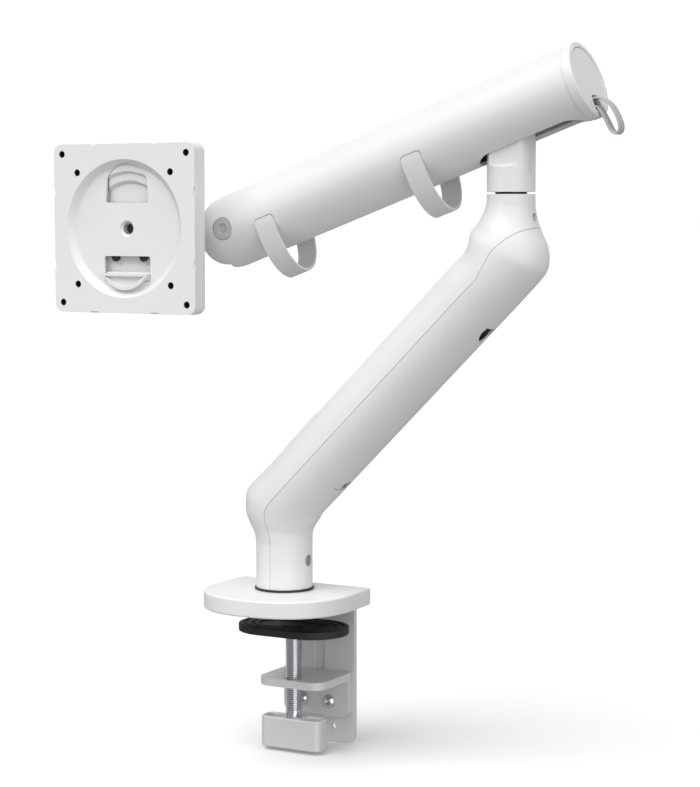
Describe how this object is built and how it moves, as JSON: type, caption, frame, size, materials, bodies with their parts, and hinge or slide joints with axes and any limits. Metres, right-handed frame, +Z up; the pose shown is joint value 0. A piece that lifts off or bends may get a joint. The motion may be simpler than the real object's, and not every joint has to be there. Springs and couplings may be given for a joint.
{
  "type": "desk-clamped monitor arm",
  "caption": "White desk-clamped monitor arm with an angled lower arm, a sprung tubular upper arm and a square screen mounting plate.",
  "frame": {"origin": "on the post's axis, in the underside of the base's pad where it rests on the desk top", "axes": "+X sideways along the desk's rear edge, towards the elbow as stored; +Y to the back, away from the user; +Z up along the post's axis"},
  "size_m": [0.3887, 0.11, 0.4755],
  "materials": {
    "white_paint": "satin",
    "silver_paint": "satin",
    "bright_steel": "polished",
    "cast_grey": "satin",
    "black_rubber": "matte",
    "dark_plastic": "satin",
    "grey_plastic": "satin",
    "loop_grey": "satin",
    "nylon": "satin"
  },
  "bodies": {
    "stand": {"base_plate": "white_paint", "desk_pad": "black_rubber", "clamp_bracket": "silver_paint", "clamp_jaw": "silver_paint", "jaw_screw_left": "bright_steel", "jaw_screw_right": "bright_steel", "post": "bright_steel", "post_ring": "dark_plastic", "post_bolt": "bright_steel"},
    "clamp_slider": {"clamp_pad": "black_rubber", "pad_socket": "bright_steel"},
    "clamp_turner": {"clamp_screw": "bright_steel", "clamp_knob": "silver_paint"},
    "lower_arm": {"lower_arm_back_shell": "white_paint", "lower_arm_front_shell": "white_paint", "cable_lid": "white_paint", "side_lid": "white_paint", "sleeve_set_screw": "bright_steel", "neck_set_screw": "bright_steel", "post_bush_lower": "nylon", "post_bush_upper": "nylon", "elbow_bush_upper": "nylon", "elbow_bush_lower": "nylon"},
    "elbow": {"knuckle": "white_paint", "elbow_spindle": "bright_steel", "elbow_spacer": "dark_plastic", "elbow_nut": "bright_steel"},
    "upper_arm": {"arm_tube": "white_paint", "end_collar": "white_paint", "end_disc": "white_paint", "pull_tab": "grey_plastic", "cable_loop_1": "loop_grey", "cable_loop_2": "loop_grey", "pivot_cap_front": "grey_plastic", "pivot_cap_back": "grey_plastic", "head_pivot_pin": "bright_steel", "gas_spring": "dark_plastic", "lift_carrier": "cast_grey", "lift_pin": "bright_steel", "tension_screw": "bright_steel"},
    "spring_rod": {"gas_spring_rod": "bright_steel"},
    "level_link": {"level_rod": "bright_steel"},
    "head_arm": {"head_bracket": "cast_grey"},
    "head_fork": {"pan_fork": "cast_grey", "pan_pin": "bright_steel", "pan_washer_upper": "nylon", "pan_washer_lower": "nylon", "tilt_pin": "bright_steel"},
    "tilt_head": {"tilt_block": "cast_grey"},
    "plate": {"friction_disc": "nylon", "plate_rear_shell": "white_paint", "vesa_plate": "white_paint", "hub_screw": "bright_steel", "hook_screw_left": "dark_plastic", "hook_screw_right": "dark_plastic"},
    "latch": {"release_latch": "white_paint"}
  },
  "joints": [
    {"name": "base_swivel", "type": "hinge", "parent": "stand", "child": "lower_arm", "pos_m": [0, 0, 0.03], "axis": [0, 0, 1], "range_deg": [-180, 180]},
    {"name": "elbow_swivel", "type": "hinge", "parent": "lower_arm", "child": "elbow", "pos_m": [0.1674, 0, 0.279], "axis": [0, 0, 1], "range_deg": [-180, 180]},
    {"name": "arm_lift", "type": "hinge", "parent": "elbow", "child": "upper_arm", "pos_m": [0.1674, 0, 0.33], "axis": [0, 1, 0], "range_deg": [-4, 58]},
    {"name": "spring_stroke", "type": "slide", "parent": "upper_arm", "child": "spring_rod", "axis": [0.9385, 0, 0.3453], "range_m": [-0.0105, 0.001]},
    {"name": "head_level", "type": "hinge", "parent": "upper_arm", "child": "head_arm", "pos_m": [-0.03353, 0, 0.25607], "axis": [0, 1, 0], "range_deg": [-60, 5]},
    {"name": "rod_swing", "type": "hinge", "parent": "head_arm", "child": "level_link", "pos_m": [-0.03353, 0.0139, 0.24407], "axis": [0, 1, 0], "range_deg": [-5, 60]},
    {"name": "head_pan", "type": "hinge", "parent": "head_arm", "child": "head_fork", "pos_m": [-0.09003, 0, 0.25607], "axis": [0, 0, 1], "range_deg": [-90, 0]},
    {"name": "head_tilt", "type": "hinge", "parent": "head_fork", "child": "tilt_head", "pos_m": [-0.09003, -0.027, 0.25607], "axis": [-1, 0, 0], "range_deg": [-15, 30]},
    {"name": "plate_turn", "type": "hinge", "parent": "tilt_head", "child": "plate", "pos_m": [-0.09003, -0.045, 0.25607], "axis": [0, -1, 0], "range_deg": [-90, 90]},
    {"name": "latch_slide", "type": "slide", "parent": "plate", "child": "latch", "axis": [0, 0, 1], "range_m": [0, 0.004], "stiffness_N_per_m": 120, "springref_m": -0.004},
    {"name": "clamp_travel", "type": "slide", "parent": "stand", "child": "clamp_slider", "axis": [0, 0, 1], "range_m": [-0.0275, 0.012]},
    {"name": "screw_turn", "type": "hinge", "parent": "clamp_slider", "child": "clamp_turner", "pos_m": [0, 0.0125, -0.05], "axis": [0, 0, 1], "range_deg": [-6480, 2760]}
  ],
  "couplings": [
    {"joint": "spring_stroke", "follows": "arm_lift", "m_per_rad": -0.01},
    {"joint": "head_level", "follows": "arm_lift", "ratio": -1},
    {"joint": "rod_swing", "follows": "arm_lift", "ratio": 1},
    {"joint": "clamp_travel", "follows": "screw_turn", "m_per_rad": 0.00023873}
  ]
}
